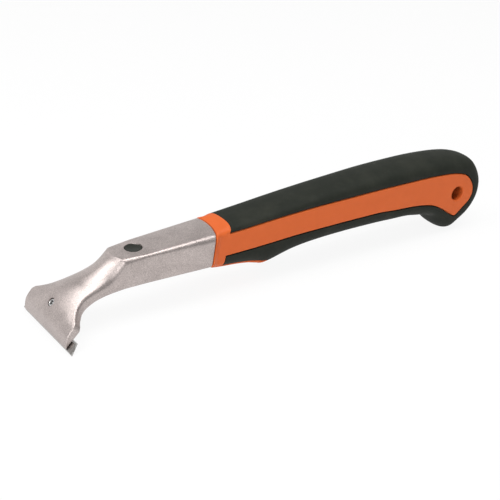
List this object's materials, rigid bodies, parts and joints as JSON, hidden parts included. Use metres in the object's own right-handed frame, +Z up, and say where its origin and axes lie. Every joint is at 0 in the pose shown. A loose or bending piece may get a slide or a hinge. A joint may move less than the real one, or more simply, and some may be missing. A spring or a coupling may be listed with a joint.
{
  "type": "paint scraper",
  "caption": "Pull scraper for paint: a cast aluminium head clamps a double-sided carbide blade, on a two-tone rubber and plastic handle with a hanging hole.",
  "frame": {"origin": "middle of the tool's footprint, on the surface that its cutting edge and the heel of its butt stand on", "axes": "+X from the blade to the butt, +Y along the cutting edge, +Z up"},
  "size_m": [0.2772, 0.0526, 0.0478],
  "materials": {
    "cast_aluminium": "blasted, satin",
    "blade_steel": "ground",
    "carbide": "fine ground",
    "clamp_steel": "pressed",
    "screw_steel": "zinc plated",
    "black_plastic": "moulded",
    "orange_plastic": "moulded, satin",
    "black_rubber": "matt"
  },
  "bodies": {
    "tool": {"head_casting": "cast_aluminium", "handle_core": "orange_plastic", "grip_rubber": "black_rubber"},
    "clamp": {"blade_clamp": "clamp_steel"},
    "screw": {"clamp_screw": "screw_steel"},
    "blade": {"blade_carrier": "blade_steel", "front_carbide_edge": "carbide", "rear_carbide_edge": "carbide"},
    "plug": {"knob_hole_plug": "black_plastic"}
  },
  "joints": [
    {"name": "clamp_slide", "type": "slide", "parent": "tool", "child": "clamp", "axis": [0.7071, 0, -0.7071], "range_m": [0, 0.0014]},
    {"name": "screw_turn", "type": "hinge", "parent": "clamp", "child": "screw", "pos_m": [-0.12808, 0, 0.00912], "axis": [0.7071, 0, -0.7071], "range_deg": [0, 720]},
    {"name": "blade_slide", "type": "slide", "parent": "tool", "child": "blade", "axis": [0, 1, 0], "range_m": [-0.02, 0.02]},
    {"name": "plug_pull", "type": "slide", "parent": "tool", "child": "plug", "axis": [0, 0, 1], "range_m": [0, 0.007]}
  ],
  "couplings": [
    {"joint": "screw_turn", "follows": "clamp_slide", "rad_per_m": 8976}
  ]
}
